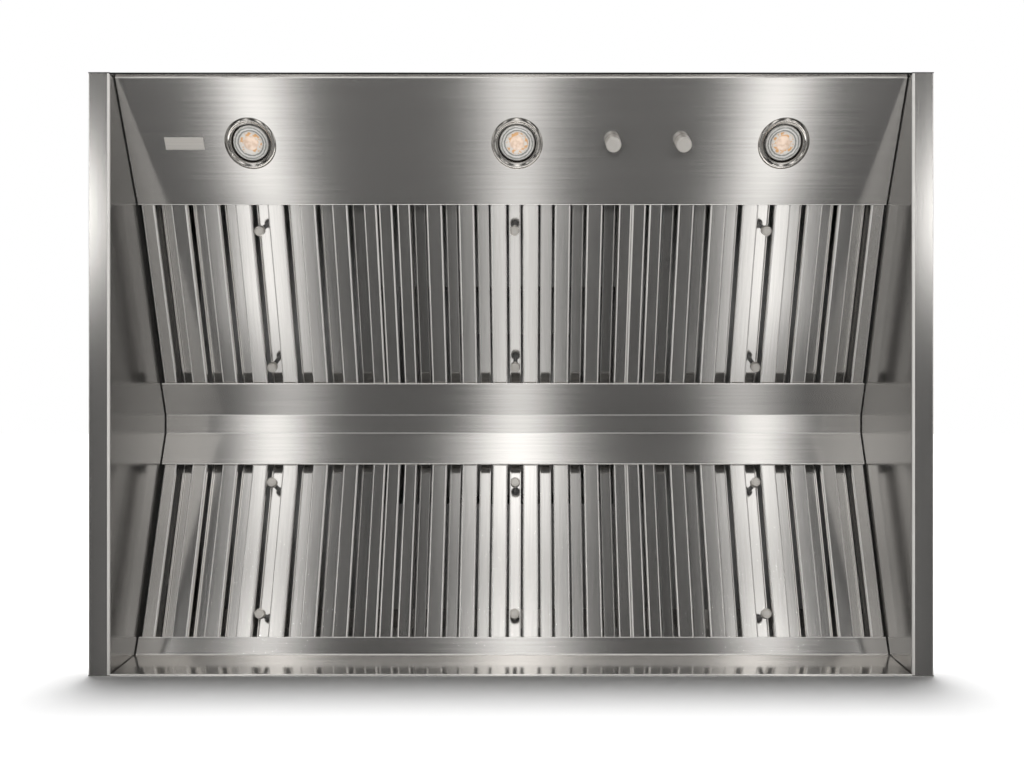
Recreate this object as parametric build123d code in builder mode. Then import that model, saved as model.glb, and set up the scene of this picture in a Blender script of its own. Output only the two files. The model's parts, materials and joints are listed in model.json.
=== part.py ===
"""A range hood insert: a stainless liner with six baffle filters, three lamps, two controls and a roof blower.

Millimetres. +Z is up, the open rim is at Z = 0, -Y is the front (the lamps), +Y the rear (the drip tray).
The origin is the middle of the rim.
"""

from build123d import *
import math
import os

# ---------------------------------------------------------------- driving dimensions
width = 1067.0  # over the side flanges
depth = 762.0
body_height = 305.0
sheet = 1.2  # casing sheet
bend_radius = 2.0  # outside of a bend
flange_width = 27.2  # the side flanges, which bear on the cabinet
flange_return = 12.7  # their turned-up outer edge
top_return = 15.0  # the walls' turned-in top edges, under the roof
side_gap = 0.8  # light panel, channel and tray to the side panels

# section from front to rear, at the visible undersides
front_leg = 12.7  # upright leg of the light panel
light_panel_run = 149.6
light_panel_rise = 75.3
front_filter_rise = 86.5
channel_run = 116.0  # centre channel, hem to hem
channel_flat = 26.3
channel_flat_offset = 1.05  # the flat lies this far behind the middle
channel_rise = 18.7
tray_run = 24.6  # drip tray's front hem to the rear lip's inner face
tray_drop = 10.0
tray_lean = 2.9  # the tray's back leg leans in by this at its top
front_filter_share = 0.5152  # of the depth left for both filter rows
rear_filter_drop = 84.5
hem_length = 6.0

# baffle filters
filters_in_row = 3
filter_play = 3.35  # each side of a filter
filter_shift = (0.7, 3.0, 1.3)  # how far each lies to the right in its play
divider_width = 18.5
divider_depth = 12.0
divider_gap = 0.4  # over the hems
filter_gap = 0.7  # over the hems
filter_depth = 24.0
filter_sheet = 1.0
rail_face = 17.5
end_face = 8.0
stop_gap = 0.3
front_lower_overlap = 8.0  # how far the filters run in behind the hems
front_upper_overlap = 16.0
rear_lower_overlap = 12.0
rear_upper_overlap = 14.0
stop_width = 30.0
stop_spacing = 200.0

baffle_sheet = 0.8
baffle_end_gap = 0.2
front_baffles = 6
front_baffle_width = 21.5
front_baffle_leg = 9.5
front_baffle_bend = 1.6  # width of the bend's flat, seen from the front
rear_baffle_leg = 5.0
rear_baffle_gap = 3.25  # each side of a rear baffle, where the air goes through
pull_knob_radius = 6.75
pull_knob_proud = 11.0  # in front of the filter's face
pull_knob_inset = 42.0  # from each end of the filter
pull_knob_sides = 12

# lamps, on the light panel
lamp_pitch = 350.0
lamp_shift = 7.0  # the row of lamps stands to the right of the middle
lamp_from_hem = 83.0  # down the slope
bulb_radius = 25.0
bulb_gap = 1.0  # to the ring round it
ring_width = 7.8
ring_height = 3.0  # in front of the panel
ring_sides = 32
bulb_recess = 2.0
bulb_hole_gap = 2.5  # to the hole in the panel
bulb_rim = 6.0
bulb_length = 46.0  # front to neck
bulb_fins = 12  # sides of its cast body
bulb_neck_radius = 9.0
bulb_neck_length = 8.0
bulb_seat_gap = 0.3
can_gap = 7.0  # round the bulb's front, to the square lamp box
socket_gap = 1.6  # round the bulb's neck
socket_wall = 5.4

# controls, on the light panel
control_xs = {"fan": 132.4, "light": 223.8}
control_from_hem = 85.5
knob_radius = 10.0
knob_sides = 32
knob_length = 18.0
knob_gap = 0.8
spindle_radius = 3.0
running_gap = 0.05
spindle_gap = 0.5  # in the panel's hole
spindle_hole_sides = 12  # in the switch
switch_side = 28.0
switch_depth = 24.0
spindle_depth = 15.0
control_box_margin = 32.0
control_box_half = 24.0
control_box_depth = 36.0

# blower box, on the roof
box_gap = 5.0  # in front of the collar's flange
box_rear_gap = 21.0  # behind the blower's scroll
box_side_gap = 11.0  # beside the motor's bracket
box_flange = 18.0
roof_lap = 10.0  # the roof reaches this far in under the blower box

# blower
axis_y = 80.0  # of the wheel, behind the duct's axis
scroll_bottom = 216.0  # the scroll's lowest point
wheel_radius = 90.0
wheel_half_width = 85.0
blade_depth = 15.0
blade_sheet = 1.2
blade_count = 20
blade_lean = 6.0  # each blade's tip leads its root by this
rim_width = 13.0
wheel_sheet = 2.0
hub_radius = 14.0
hub_half_length = 12.0
shaft_radius = 6.0
shaft_inner_end = 20.0  # past the wheel's middle disc
housing_sheet = 1.0
housing_gap = 8.0  # beside the wheel
scroll_gaps = (46.0, 31.0, 22.0)  # the scroll's radii past the wheel's: lower front, lower rear, upper rear
outlet_gap = 58.0  # from the wheel to the outlet's front wall
outlet_width = 130.0
outlet_height = 6.0  # of its rear wall, over the scroll
inlet_sides = 28
motor_radius = 45.0
motor_sides = 28
motor_length = 74.0
motor_gap = 8.0  # from the housing's side
motor_bore_depth = 30.0
bracket_sheet = 2.0
bracket_width = 20.0
bracket_margin = 11.0  # outside the inlet
bracket_arms = 3

# duct collar and damper
collar_radius = 126.0  # outside: a 254 mm round duct slides over it
collar_sheet = 1.0
collar_height = 54.0
collar_flange = 19.0
seat_tab = (18.0, 6.0)  # across, and in from the wall
pin_height = 22.0
pin_radius = 2.5
knuckle_radius = 4.0
flap_sheet = 1.0
flap_gap = 1.0
flap_root = 4.6  # from the pin's axis to the plate
knuckle_length = 80.0
knuckle_gap = 4.0  # between the two flaps' knuckles

# junction box, on the roof
junction_x = -350.0
junction_y = 230.0
junction_size = (110.0, 80.0, 45.0)
junction_lid_lap = 12.0
lid_gap = 0.3
knockout_radius = 11.1

# hanging holes, in the roof's corners
hanger_x = 940.0
hanger_y = 640.0
hanger_radius = 4.5

# ---------------------------------------------------------------- worked-out sizes
inner_half = width / 2 - flange_width
outer_half = inner_half + sheet
half_depth = depth / 2
wall_inside = half_depth - sheet
wall_top = body_height - sheet
lip_inside = wall_inside - sheet
hem = 2 * sheet

panel_foot = (-lip_inside, front_leg)
front_hem = (-lip_inside + light_panel_run, front_leg + light_panel_rise)
rear_hem_y = lip_inside - tray_run
filters_run = rear_hem_y - front_hem[0] - channel_run
front_top = (front_hem[0] + filters_run * front_filter_share, front_hem[1] + front_filter_rise)
rear_top = (front_top[0] + channel_run, front_top[1])
rear_hem = (rear_hem_y, rear_top[1] - rear_filter_drop)
channel_middle = (front_top[0] + rear_top[0]) / 2 + channel_flat_offset
channel_front = (channel_middle - channel_flat / 2, front_top[1] + channel_rise)
channel_rear = (channel_middle + channel_flat / 2, front_top[1] + channel_rise)
tray_corner = (lip_inside - tray_lean, rear_hem[1] - tray_drop)

inner_width = 2 * inner_half
filter_width = (inner_width - (filters_in_row - 1) * divider_width) / filters_in_row - 2 * filter_play
filter_pitch = filter_width + divider_width + 2 * filter_play
filter_xs = [filter_pitch * (i - 1) + filter_shift[i] for i in range(filters_in_row)]
divider_xs = [filter_pitch * (i - 0.5) for i in range(filters_in_row - 1)]

slot_width = (filter_width - 2 * rail_face - front_baffles * front_baffle_width) / (front_baffles + 1)
baffle_pitch = front_baffle_width + slot_width
rear_baffle_width = slot_width - 2 * rear_baffle_gap

lamp_xs = {"left": lamp_shift - lamp_pitch, "centre": lamp_shift, "right": lamp_shift + lamp_pitch}
lamp_hole_radius = bulb_radius + bulb_hole_gap
bulb_end = bulb_recess + bulb_length + bulb_neck_length
bulb_body_length = bulb_length - bulb_rim
bulb_taper = math.degrees(math.atan2(bulb_radius - bulb_neck_radius, bulb_body_length))
can_length = bulb_end + bulb_seat_gap + sheet

scroll_radii = [wheel_radius + gap for gap in scroll_gaps]
axis_z = scroll_bottom + scroll_radii[0]
outlet_front = axis_y - wheel_radius - outlet_gap
outlet_rear = outlet_front + outlet_width
scroll_rear = outlet_front + scroll_radii[0] + scroll_radii[1]
scroll_top = scroll_bottom + scroll_radii[1] + scroll_radii[2]
housing_half_width = wheel_half_width + wheel_sheet + housing_gap
inlet_radius = wheel_radius - blade_depth
motor_start = housing_half_width + motor_gap
motor_end = motor_start + motor_length

box_top = scroll_top + outlet_height
box_height = box_top - body_height
box_front = collar_radius + collar_flange + box_gap
box_rear = scroll_rear + box_rear_gap
box_half_width = motor_end + bracket_sheet + box_side_gap
collar_inside = collar_radius - collar_sheet
pin_z = box_top + pin_height

os.makedirs("parts", exist_ok=True)


def save(part, name):
    """Label a finished piece and write it."""
    part.label = name
    export_step(part, f"parts/{name}.step")


def towards(start, end):
    """Unit vector from one section point to another, as (y, z)."""
    length = math.dist(start, end)
    return ((end[0] - start[0]) / length, (end[1] - start[1]) / length)


def along(point, *steps):
    """A section point moved by (direction, distance) steps."""
    y = point[0] + sum(direction[0] * distance for direction, distance in steps)
    z = point[1] + sum(direction[1] * distance for direction, distance in steps)
    return (y, z)


def slope_plane(x, low, high):
    """The plane of a slope's underside: x across, y from its low to its high edge, z up into the hood."""
    up = towards(low, high)
    side = 1 if up[0] > 0 else -1
    return Plane(origin=(x, *low), x_dir=(side, 0, 0), z_dir=(0, -up[1] * side, up[0] * side))


front_slope = towards(front_hem, front_top)
rear_slope = towards(rear_hem, rear_top)
panel_slope = towards(panel_foot, front_hem)


def bent_sheet(points, side, half_width, hem_start=False, hem_end=False):
    """A sheet bent along visible section points, the same all across, its hemmed ends folded flat and round."""
    path = list(points)
    flip = 1 if side == Side.LEFT else -1
    hems = []
    for wanted, end, inner in ((hem_start, 0, 1), (hem_end, -1, -2)):
        if not wanted:
            continue
        run = towards(points[end], points[inner])
        turn = flip if end == 0 else -flip
        lift = (-run[1] * turn, run[0] * turn)
        path[end] = along(points[end], (run, sheet))
        centre = along(points[end], (run, sheet), (lift, sheet))
        corners = [
            path[end],
            along(path[end], (lift, hem)),
            along(points[end], (run, hem_length), (lift, hem)),
            along(points[end], (run, hem_length)),
        ]
        hems.append((centre, corners))
    with BuildPart() as blank:
        with BuildSketch(Plane.YZ):
            with BuildLine():
                FilletPolyline(*path, radius=bend_radius)
                offset(amount=sheet, side=side)
            make_face()
            for centre, corners in hems:
                Polygon(*corners, align=None)
                with Locations(centre):
                    Circle(sheet)
        extrude(amount=half_width, both=True)
    return blank.part


def filter_stops(edge, inner, slope, overlap):
    """Tabs that stand on a sheet's back, square to the filters, where their lower ends come to rest."""
    normal = (-slope[1], slope[0]) if slope[0] > 0 else (slope[1], -slope[0])
    run = towards(edge, inner)
    distance = (overlap + stop_gap + sheet / 2) / abs(run[0] * slope[0] + run[1] * slope[1])
    back = (run[1], -run[0]) if run[0] < 0 else (-run[1], run[0])
    foot = along(edge, (run, distance), (back, sheet / 2))
    height = hem + filter_gap + filter_depth
    corners = [
        along(foot, (slope, -sheet / 2)),
        along(foot, (slope, sheet / 2)),
        along(foot, (slope, sheet / 2), (normal, height)),
        along(foot, (slope, -sheet / 2), (normal, height)),
    ]
    for x in filter_xs:
        for offset_x in (-stop_spacing / 2, stop_spacing / 2):
            with BuildSketch(Plane.YZ.offset(x + offset_x)) as tab:
                Polygon(*corners, align=None)
            extrude(tab.sketch, amount=stop_width / 2, both=True)


def channel_section(outside, leg, wall, web, bend):
    """A channel's section, centred on x = 0: its web's outer face at web, legs as long as leg, towards its sign."""
    turn = math.copysign(1, leg)
    with BuildSketch() as section:
        with Locations((0, web + leg / 2)):
            Rectangle(outside, abs(leg))
        outer = [v for v in section.sketch.vertices() if abs(v.Y - web) < wall / 2]
        if bend:
            chamfer(outer, bend)
        with Locations((0, web + leg / 2 + turn * wall)):
            Rectangle(outside - 2 * wall, abs(leg), mode=Mode.SUBTRACT)
    return section.sketch


# ---------------------------------------------------------------- casing
with BuildPart() as right_side_panel:
    with BuildSketch(Plane.XZ):
        with BuildLine():
            Polyline(
                (width / 2, flange_return),
                (width / 2, 0),
                (inner_half + bend_radius, 0),
            )
            JernArc((inner_half + bend_radius, 0), (-1, 0), bend_radius, -90)
            Polyline(
                (inner_half, bend_radius),
                (inner_half, wall_top - sheet),
                (inner_half - top_return, wall_top - sheet),
            )
            offset(amount=sheet, side=Side.RIGHT, kind=Kind.INTERSECTION)
        make_face()
    extrude(amount=wall_inside, both=True)
save(right_side_panel.part, "right_side_panel")

with BuildPart() as left_side_panel:
    add(right_side_panel.part)
    mirror(about=Plane.YZ, mode=Mode.REPLACE)
save(left_side_panel.part, "left_side_panel")


def end_wall(facing):
    """The front (-1) or rear (+1) wall, with a thin bottom lip, ears over the side flanges and a top return."""
    with BuildPart() as wall:
        with BuildSketch(Plane.XZ.offset(-facing * wall_inside)):
            with Locations((0, wall_top / 2)):
                Rectangle(2 * outer_half, wall_top)
            with Locations((0, flange_return / 2)):
                Rectangle(width, flange_return)
        extrude(amount=-facing * sheet)
        with Locations((0, facing * (wall_inside - sheet / 2), sheet / 2)):
            Box(inner_width, sheet, sheet)
        with Locations((0, facing * (wall_inside - top_return / 2), wall_top - sheet / 2)):
            Box(inner_width - 2 * top_return - 2 * stop_gap, top_return, sheet)
    return wall.part


save(end_wall(-1), "front_wall")
save(end_wall(1), "rear_wall")

with BuildPart() as roof_panel:
    with Locations((0, 0, body_height - sheet / 2)):
        Box(2 * outer_half, depth, sheet)
    with Locations((0, (box_rear - box_front) / 2, body_height - sheet / 2)):
        Box(
            2 * (box_half_width - roof_lap),
            box_front + box_rear - 2 * roof_lap,
            sheet,
            mode=Mode.SUBTRACT,
        )
    with Locations(Plane.XY.offset(body_height)):
        with GridLocations(hanger_x, hanger_y, 2, 2):
            Hole(hanger_radius, depth=sheet)
save(roof_panel.part, "roof_panel")

# ---------------------------------------------------------------- light panel
def on_light_panel(x, from_hem):
    """A plane on the light panel's underside: y up the slope, z up into the hood."""
    low = along(front_hem, (panel_slope, -from_hem))
    return slope_plane(x, low, front_hem)


with BuildPart() as light_panel:
    add(
        bent_sheet(
            [(-lip_inside, sheet), panel_foot, front_hem],
            Side.LEFT,
            inner_half - side_gap,
            hem_end=True,
        )
    )
    filter_stops(front_hem, panel_foot, front_slope, front_lower_overlap)
    for x in lamp_xs.values():
        with Locations(on_light_panel(x, lamp_from_hem)):
            Cylinder(lamp_hole_radius, 4 * sheet, mode=Mode.SUBTRACT)
    for x in control_xs.values():
        with Locations(on_light_panel(x, control_from_hem)):
            Cylinder(spindle_radius + spindle_gap, 4 * sheet, mode=Mode.SUBTRACT)
save(light_panel.part, "light_panel")

# ---------------------------------------------------------------- centre channel, drip tray, dividers
save(
    bent_sheet(
        [front_top, channel_front, channel_rear, rear_top],
        Side.LEFT,
        inner_half - side_gap,
        hem_start=True,
        hem_end=True,
    ),
    "centre_channel",
)

with BuildPart() as drip_tray:
    add(
        bent_sheet(
            [(lip_inside, sheet), tray_corner, rear_hem],
            Side.RIGHT,
            inner_half - side_gap,
            hem_end=True,
        )
    )
    filter_stops(rear_hem, tray_corner, rear_slope, rear_lower_overlap)
save(drip_tray.part, "drip_tray")

with BuildPart() as filter_dividers:
    for low, high in ((front_hem, front_top), (rear_hem, rear_top)):
        length = math.dist(low, high) + 2 * hem_length
        for x in divider_xs:
            base = slope_plane(x, low, high)
            section = Plane(
                origin=base.origin - base.y_dir * hem_length + base.z_dir * (hem + divider_gap),
                x_dir=base.x_dir,
                z_dir=-base.y_dir,
            )
            with BuildSketch(section):
                add(channel_section(divider_width, divider_depth, sheet, 0, front_baffle_bend))
            extrude(amount=-length)
save(filter_dividers.part, "filter_dividers")

# ---------------------------------------------------------------- baffle filters


front_section = channel_section(front_baffle_width, front_baffle_leg, baffle_sheet, filter_sheet, front_baffle_bend)
rear_web = filter_depth - filter_sheet  # the back of the rear baffles' webs
rear_section = channel_section(rear_baffle_width, -rear_baffle_leg, baffle_sheet, rear_web, 0)


def filter_frame(plane, length):
    """A folded frame of C section: a shallow box, hollow, open in front and behind."""
    with BuildPart(plane) as frame:
        with Locations((0, length / 2, filter_depth / 2)):
            Box(filter_width, length, filter_depth)
            Box(
                filter_width - 2 * filter_sheet,
                length - 2 * filter_sheet,
                filter_depth - 2 * filter_sheet,
                mode=Mode.SUBTRACT,
            )
            Box(
                filter_width - 2 * rail_face,
                length - 2 * end_face,
                filter_depth,
                mode=Mode.SUBTRACT,
            )
    return frame.part


def baffles(plane, length, section, count):
    """A row of equal channels side by side, their ends inside the frame's end rails."""
    start = filter_sheet + baffle_end_gap
    across = Plane(origin=plane.origin + plane.y_dir * start, x_dir=plane.x_dir, z_dir=-plane.y_dir)
    with BuildPart() as row:
        with BuildSketch(across):
            with GridLocations(baffle_pitch, baffle_pitch, count, 1):
                add(section)
        extrude(amount=-(length - 2 * start))
    return row.part


def pull_knobs(plane, length):
    """The two plain round knobs on the middle rear baffle."""
    foot = rear_web - baffle_sheet
    with BuildPart() as knobs:
        with BuildSketch(plane.offset(-pull_knob_proud)):
            for y in (pull_knob_inset, length - pull_knob_inset):
                with Locations((0, y)):
                    RegularPolygon(pull_knob_radius, pull_knob_sides)
        extrude(amount=foot + pull_knob_proud)
    return knobs.part


for row, low, high, lower_overlap, upper_overlap in (
    ("front", front_hem, front_top, front_lower_overlap, front_upper_overlap),
    ("rear", rear_hem, rear_top, rear_lower_overlap, rear_upper_overlap),
):
    length = math.dist(low, high) + lower_overlap + upper_overlap
    for place, x in zip(("left", "centre", "right"), filter_xs):
        base = slope_plane(x, low, high)
        lower_end = base.origin - base.y_dir * lower_overlap + base.z_dir * (hem + filter_gap)
        plane = Plane(origin=lower_end, x_dir=base.x_dir, z_dir=base.z_dir)
        name = f"{row}_{place}_filter"
        save(filter_frame(plane, length), f"{name}_frame")
        save(baffles(plane, length, front_section, front_baffles), f"{name}_front_baffles")
        save(baffles(plane, length, rear_section, front_baffles + 1), f"{name}_rear_baffles")
        save(pull_knobs(plane, length), f"{name}_knobs")

# ---------------------------------------------------------------- lamps
lamp_places = [on_light_panel(x, lamp_from_hem) for x in lamp_xs.values()]

with BuildPart() as lamp_rings:
    for place in lamp_places:
        with BuildSketch(place):
            RegularPolygon(bulb_radius + bulb_gap + ring_width, ring_sides)
            RegularPolygon(bulb_radius + bulb_gap, ring_sides, mode=Mode.SUBTRACT)
        extrude(amount=-ring_height)
save(lamp_rings.part, "lamp_rings")

with BuildPart() as lamp_bulbs:
    for place in lamp_places:
        with BuildSketch(place.offset(bulb_recess)):
            RegularPolygon(bulb_radius, 2 * bulb_fins)
        extrude(amount=bulb_rim)
        with BuildSketch(place.offset(bulb_recess + bulb_rim)):
            RegularPolygon(bulb_radius, bulb_fins)
        extrude(amount=bulb_body_length, taper=bulb_taper)
        with BuildSketch(place.offset(bulb_recess + bulb_length)):
            RegularPolygon(bulb_neck_radius, bulb_fins)
        extrude(amount=bulb_neck_length)
save(lamp_bulbs.part, "lamp_bulbs")

can_half = bulb_radius + can_gap
socket_half = bulb_neck_radius + socket_gap
with BuildPart() as lamp_holders:
    for place in lamp_places:
        with BuildSketch(place.offset(sheet)):
            Rectangle(2 * can_half, 2 * can_half)
        extrude(amount=can_length - sheet)
        with BuildSketch(place.offset(sheet)):
            Rectangle(2 * (can_half - sheet), 2 * (can_half - sheet))
        extrude(amount=can_length - 2 * sheet, mode=Mode.SUBTRACT)
        with BuildSketch(place.offset(bulb_end - bulb_neck_length / 2)):
            Rectangle(2 * (socket_half + socket_wall), 2 * (socket_half + socket_wall))
            Rectangle(2 * socket_half, 2 * socket_half, mode=Mode.SUBTRACT)
        extrude(amount=bulb_neck_length / 2 + bulb_seat_gap)
save(lamp_holders.part, "lamp_holders")

# ---------------------------------------------------------------- controls
for use, unit in (("fan", "fan_switch"), ("light", "light_dimmer")):
    place = on_light_panel(control_xs[use], control_from_hem)

    with BuildPart() as switch:
        with BuildSketch(place.offset(sheet)):
            Rectangle(switch_side, switch_side)
        extrude(amount=switch_depth)
        with BuildSketch(place):
            RegularPolygon(spindle_radius + running_gap, spindle_hole_sides, major_radius=False)
        extrude(amount=spindle_depth + knob_gap, mode=Mode.SUBTRACT)
    save(switch.part, unit)

    with BuildPart() as knob:
        with BuildSketch(place.offset(-knob_gap)):
            RegularPolygon(knob_radius, knob_sides)
        extrude(amount=-knob_length)
        with BuildSketch(place.offset(-knob_gap)):
            Circle(spindle_radius)
        extrude(amount=knob_gap + spindle_depth)
    save(knob.part, f"{use}_knob")

controls_middle = sum(control_xs.values()) / len(control_xs)
controls_span = max(control_xs.values()) - min(control_xs.values())
with BuildPart(on_light_panel(controls_middle, control_from_hem)) as control_box:
    with Locations((0, 0, sheet)):
        Box(
            controls_span + 2 * control_box_margin,
            2 * control_box_half,
            control_box_depth,
            align=(Align.CENTER, Align.CENTER, Align.MIN),
        )
        Box(
            controls_span + 2 * (control_box_margin - sheet),
            2 * (control_box_half - sheet),
            control_box_depth - sheet,
            align=(Align.CENTER, Align.CENTER, Align.MIN),
            mode=Mode.SUBTRACT,
        )
save(control_box.part, "control_box")

# ---------------------------------------------------------------- blower box
box_middle = (box_rear - box_front) / 2
box_run = box_front + box_rear
with BuildPart() as blower_box:
    with Locations((0, box_middle, body_height)):
        Box(
            2 * (box_half_width + box_flange),
            box_run + 2 * box_flange,
            sheet,
            align=(Align.CENTER, Align.CENTER, Align.MIN),
        )
    with Locations((0, box_middle, body_height)):
        Box(
            2 * box_half_width,
            box_run,
            box_height,
            align=(Align.CENTER, Align.CENTER, Align.MIN),
        )
        Box(
            2 * (box_half_width - sheet),
            box_run - 2 * sheet,
            box_height - sheet,
            align=(Align.CENTER, Align.CENTER, Align.MIN),
            mode=Mode.SUBTRACT,
        )
    with Locations((0, (outlet_front + outlet_rear) / 2, box_top)):
        Box(
            2 * (housing_half_width - housing_sheet),
            outlet_width - 2 * housing_sheet,
            4 * sheet,
            mode=Mode.SUBTRACT,
        )
save(blower_box.part, "blower_box")

# ---------------------------------------------------------------- blower
housing_top = box_top - sheet


def scroll_outline(wall):
    """The volute's outline, drawn in by a wall: three quarter arcs that tighten towards the outlet's tongue."""
    r1, r2, r3 = scroll_radii
    c1 = (outlet_front + r1, axis_z)
    c2 = (c1[0], axis_z - r1 + r2)
    c3 = (c1[0] + r2 - r3, c2[1])
    tongue = (outlet_rear - wall, c3[1] + r3 - wall)
    with BuildSketch(Plane.YZ) as outline:
        with BuildLine():
            Line((outlet_front + wall, housing_top), (outlet_front + wall, axis_z))
            CenterArc(c1, r1 - wall, 180, 90)
            CenterArc(c2, r2 - wall, 270, 90)
            CenterArc(c3, r3 - wall, 0, 90)
            Line((c3[0], tongue[1]), tongue)
            Line(tongue, (tongue[0], housing_top))
            Line((tongue[0], housing_top), (outlet_front + wall, housing_top))
        make_face()
    return outline.sketch


wheel_plane = Plane(origin=(0, axis_y, axis_z), x_dir=(0, 1, 0), z_dir=(1, 0, 0))
side_inside = housing_half_width - housing_sheet
with BuildPart() as blower_scroll:
    extrude(scroll_outline(0), amount=side_inside, both=True)
    extrude(scroll_outline(housing_sheet), amount=housing_half_width, both=True, mode=Mode.SUBTRACT)
save(blower_scroll.part, "blower_scroll")

with BuildPart() as blower_side_right:
    extrude(scroll_outline(0), amount=housing_half_width)
    extrude(scroll_outline(0), amount=side_inside, mode=Mode.SUBTRACT)
    with BuildSketch(wheel_plane):
        RegularPolygon(inlet_radius, inlet_sides)
    extrude(amount=housing_half_width, mode=Mode.SUBTRACT)
save(blower_side_right.part, "blower_side_right")

with BuildPart() as blower_side_left:
    add(blower_side_right.part)
    mirror(about=Plane.YZ, mode=Mode.REPLACE)
save(blower_side_left.part, "blower_side_left")

with BuildPart() as blower_wheel_disc:
    with BuildSketch(wheel_plane):
        RegularPolygon(wheel_radius, blade_count)
    extrude(amount=wheel_sheet / 2, both=True)
    with BuildSketch(wheel_plane):
        RegularPolygon(hub_radius, blade_count // 2)
    extrude(amount=hub_half_length, both=True)
    with BuildSketch(wheel_plane):
        Circle(shaft_radius)
    extrude(amount=hub_half_length, both=True, mode=Mode.SUBTRACT)
save(blower_wheel_disc.part, "blower_wheel_disc")

blade_tip = wheel_radius * math.cos(math.pi / blade_count) - blade_sheet
with BuildPart() as blower_cage_right:
    with BuildSketch(wheel_plane.offset(wheel_sheet / 2)):
        with PolarLocations(0, blade_count):
            Polygon(
                (wheel_radius - blade_depth, 0),
                (blade_tip, blade_lean),
                (blade_tip, blade_lean + blade_sheet),
                (wheel_radius - blade_depth, blade_sheet),
                align=None,
            )
    extrude(amount=wheel_half_width - wheel_sheet / 2)
    with BuildSketch(wheel_plane.offset(wheel_half_width)):
        RegularPolygon(wheel_radius, blade_count)
        RegularPolygon(wheel_radius - rim_width, blade_count, mode=Mode.SUBTRACT)
    extrude(amount=wheel_sheet)
save(blower_cage_right.part, "blower_cage_right")

with BuildPart() as blower_cage_left:
    add(blower_cage_right.part)
    mirror(about=Plane.YZ, mode=Mode.REPLACE)
save(blower_cage_left.part, "blower_cage_left")

with BuildPart() as blower_shaft:
    with BuildSketch(wheel_plane.offset(-shaft_inner_end)):
        Circle(shaft_radius)
    extrude(amount=shaft_inner_end + motor_start + motor_bore_depth - 1)
save(blower_shaft.part, "blower_shaft")

with BuildPart() as blower_motor:
    with BuildSketch(wheel_plane.offset(motor_start)):
        RegularPolygon(motor_radius, motor_sides)
    extrude(amount=motor_length)
    with BuildSketch(wheel_plane.offset(motor_start)):
        Circle(shaft_radius + running_gap)
    extrude(amount=motor_bore_depth, mode=Mode.SUBTRACT)
save(blower_motor.part, "blower_motor")

bracket_plane = wheel_plane.offset(motor_end)
bracket_foot_radius = inlet_radius + bracket_margin
with BuildPart() as motor_bracket:
    with BuildSketch(bracket_plane):
        RegularPolygon(bracket_width, 2 * bracket_arms, rotation=30)
        with PolarLocations(0, bracket_arms, start_angle=90):
            with Locations((bracket_foot_radius / 2, 0)):
                Rectangle(bracket_foot_radius, bracket_width)
    extrude(amount=bracket_sheet)
    with BuildSketch(bracket_plane):
        with PolarLocations(bracket_foot_radius - bracket_sheet / 2, bracket_arms, start_angle=90):
            Rectangle(bracket_sheet, bracket_width)
    extrude(amount=-(motor_length + motor_gap))
save(motor_bracket.part, "motor_bracket")

# ---------------------------------------------------------------- duct collar and damper
seat_top = pin_z - flap_sheet / 2 - stop_gap
with BuildPart() as duct_collar:
    with BuildSketch(Plane.XY.offset(box_top)):
        Rectangle(2 * (collar_radius + collar_flange), 2 * (collar_radius + collar_flange))
        Circle(collar_inside, mode=Mode.SUBTRACT)
    extrude(amount=sheet)
    with BuildSketch(Plane.XY.offset(box_top)):
        Circle(collar_radius)
        Circle(collar_inside, mode=Mode.SUBTRACT)
    extrude(amount=collar_height)
    with Locations(Plane.XY.offset(seat_top)):
        with PolarLocations(collar_radius - collar_sheet / 2, 4, start_angle=45):
            Box(seat_tab[1], seat_tab[0], sheet, align=(Align.MAX, Align.CENTER, Align.MAX))
save(duct_collar.part, "duct_collar")

with BuildPart() as damper_pin:
    with BuildSketch(Plane.YZ):
        with Locations((0, pin_z)):
            Circle(pin_radius)
    extrude(amount=collar_inside - running_gap, both=True)
save(damper_pin.part, "damper_pin")

flap_radius = collar_inside - flap_gap


def damper_flap(facing):
    """Half a disc, in front of (-1) or behind (+1) the pin, with its own knuckles round the pin."""
    x = facing * (knuckle_length + knuckle_gap) / 2
    with BuildPart() as flap:
        with BuildSketch(Plane.XY.offset(pin_z)):
            Circle(flap_radius)
            with Locations((0, -facing * (flap_radius - flap_root))):
                Rectangle(2 * flap_radius, 2 * flap_radius, mode=Mode.SUBTRACT)
        extrude(amount=flap_sheet / 2, both=True)
        with Locations((x, facing * (pin_radius + flap_root) / 2, pin_z)):
            Box(knuckle_length, flap_root - pin_radius + flap_sheet, flap_sheet)
        with BuildSketch(Plane.YZ.offset(x)):
            with Locations((0, pin_z)):
                Circle(knuckle_radius)
        extrude(amount=knuckle_length / 2, both=True)
        with BuildSketch(Plane.YZ):
            with Locations((0, pin_z)):
                Circle(pin_radius + running_gap)
        extrude(amount=collar_radius, both=True, mode=Mode.SUBTRACT)
    return flap.part


save(damper_flap(-1), "damper_flap_front")
save(damper_flap(1), "damper_flap_rear")

# ---------------------------------------------------------------- junction box
with BuildPart() as junction_box:
    with Locations((junction_x, junction_y, body_height)):
        Box(*junction_size, align=(Align.CENTER, Align.CENTER, Align.MIN))
    offset(
        amount=-sheet,
        openings=junction_box.part.faces().sort_by(Axis.Z)[-1],
        kind=Kind.INTERSECTION,
    )
    with BuildSketch(Plane.YZ.offset(junction_x - junction_size[0] / 2)):
        with Locations((junction_y, body_height + junction_size[2] * 0.45)):
            Circle(knockout_radius)
    extrude(amount=2 * sheet, mode=Mode.SUBTRACT)
save(junction_box.part, "junction_box")

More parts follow.
